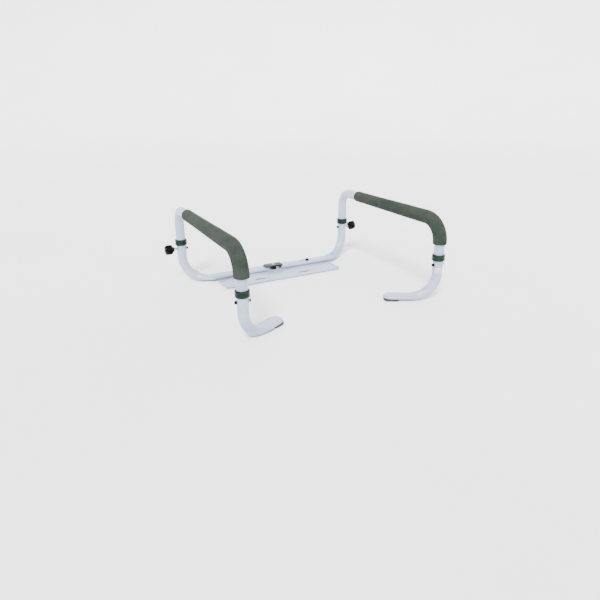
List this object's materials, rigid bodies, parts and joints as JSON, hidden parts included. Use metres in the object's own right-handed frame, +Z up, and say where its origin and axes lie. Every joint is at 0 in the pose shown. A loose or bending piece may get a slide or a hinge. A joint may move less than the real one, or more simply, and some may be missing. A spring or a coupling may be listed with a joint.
{
  "type": "toilet safety frame",
  "caption": "Pair of foam-padded arm rails on bent side tubes that bolt under a toilet seat hinge and rest on the bowl rim, with width and height adjustment.",
  "frame": {"origin": "centre of the bounding box in plan, at the underside of the lower tubes", "axes": "+X across the toilet towards the right side of the picture, +Y back to the tank, +Z up"},
  "size_m": [0.625, 0.4936, 0.2249],
  "materials": {
    "white_powder_coat": "white powder coat with a soft gloss and a fine orange peel",
    "closed_cell_foam": "matt closed-cell foam sleeve, grey olive green, finely pitted",
    "dark_green_plastic": "moulded plastic, very dark green, satin",
    "black_plastic": "moulded black plastic, satin",
    "zinc_steel": "bright zinc plate",
    "black_rubber": "matt black rubber"
  },
  "bodies": {
    "root": {"mounting_plate": "white_powder_coat", "centre_guide": "dark_green_plastic", "guide_screw": "zinc_steel", "left_gasket": "black_rubber", "left_width_bolt": "zinc_steel", "left_width_washer": "zinc_steel", "left_width_nut": "black_plastic", "right_gasket": "black_rubber", "right_width_bolt": "zinc_steel", "right_width_washer": "zinc_steel", "right_width_nut": "black_plastic"},
    "left_side": {"left_rear_tube": "white_powder_coat", "left_front_tube": "white_powder_coat", "left_rear_collar": "dark_green_plastic", "left_front_collar": "dark_green_plastic", "left_front_bolt": "zinc_steel", "left_front_outer_washer": "zinc_steel", "left_front_outer_nut": "black_plastic", "left_front_inner_washer": "zinc_steel", "left_front_inner_nut": "black_plastic", "left_knob_washer": "zinc_steel", "left_rear_washer": "zinc_steel", "left_rear_nut": "black_plastic", "left_front_pad": "black_rubber"},
    "left_rail": {"left_handrail": "white_powder_coat", "left_grip": "closed_cell_foam"},
    "left_knob": {"left_star_knob": "black_plastic", "left_knob_screw": "zinc_steel"},
    "right_side": {"right_rear_tube": "white_powder_coat", "right_front_tube": "white_powder_coat", "right_rear_collar": "dark_green_plastic", "right_front_collar": "dark_green_plastic", "right_front_bolt": "zinc_steel", "right_front_outer_washer": "zinc_steel", "right_front_outer_nut": "black_plastic", "right_front_inner_washer": "zinc_steel", "right_front_inner_nut": "black_plastic", "right_knob_washer": "zinc_steel", "right_rear_washer": "zinc_steel", "right_rear_nut": "black_plastic", "right_front_pad": "black_rubber"},
    "right_rail": {"right_handrail": "white_powder_coat", "right_grip": "closed_cell_foam"},
    "right_knob": {"right_star_knob": "black_plastic", "right_knob_screw": "zinc_steel"}
  },
  "joints": [
    {"name": "left_width_slide", "type": "slide", "parent": "root", "child": "left_side", "axis": [-1, 0, 0], "range_m": [-0.01, 0.025]},
    {"name": "left_rail_lift", "type": "slide", "parent": "left_side", "child": "left_rail", "axis": [0, 0, 1], "range_m": [0, 0.025]},
    {"name": "left_knob_turn", "type": "hinge", "parent": "left_side", "child": "left_knob", "pos_m": [-0.2655, 0.23058, 0.0995], "axis": [-1, 0, 0], "range_deg": [0, 1440]},
    {"name": "right_width_slide", "type": "slide", "parent": "root", "child": "right_side", "axis": [1, 0, 0], "range_m": [-0.01, 0.025]},
    {"name": "right_rail_lift", "type": "slide", "parent": "right_side", "child": "right_rail", "axis": [0, 0, 1], "range_m": [0, 0.025]},
    {"name": "right_knob_turn", "type": "hinge", "parent": "right_side", "child": "right_knob", "pos_m": [0.2655, 0.23058, 0.0995], "axis": [1, 0, 0], "range_deg": [0, 1440]}
  ]
}
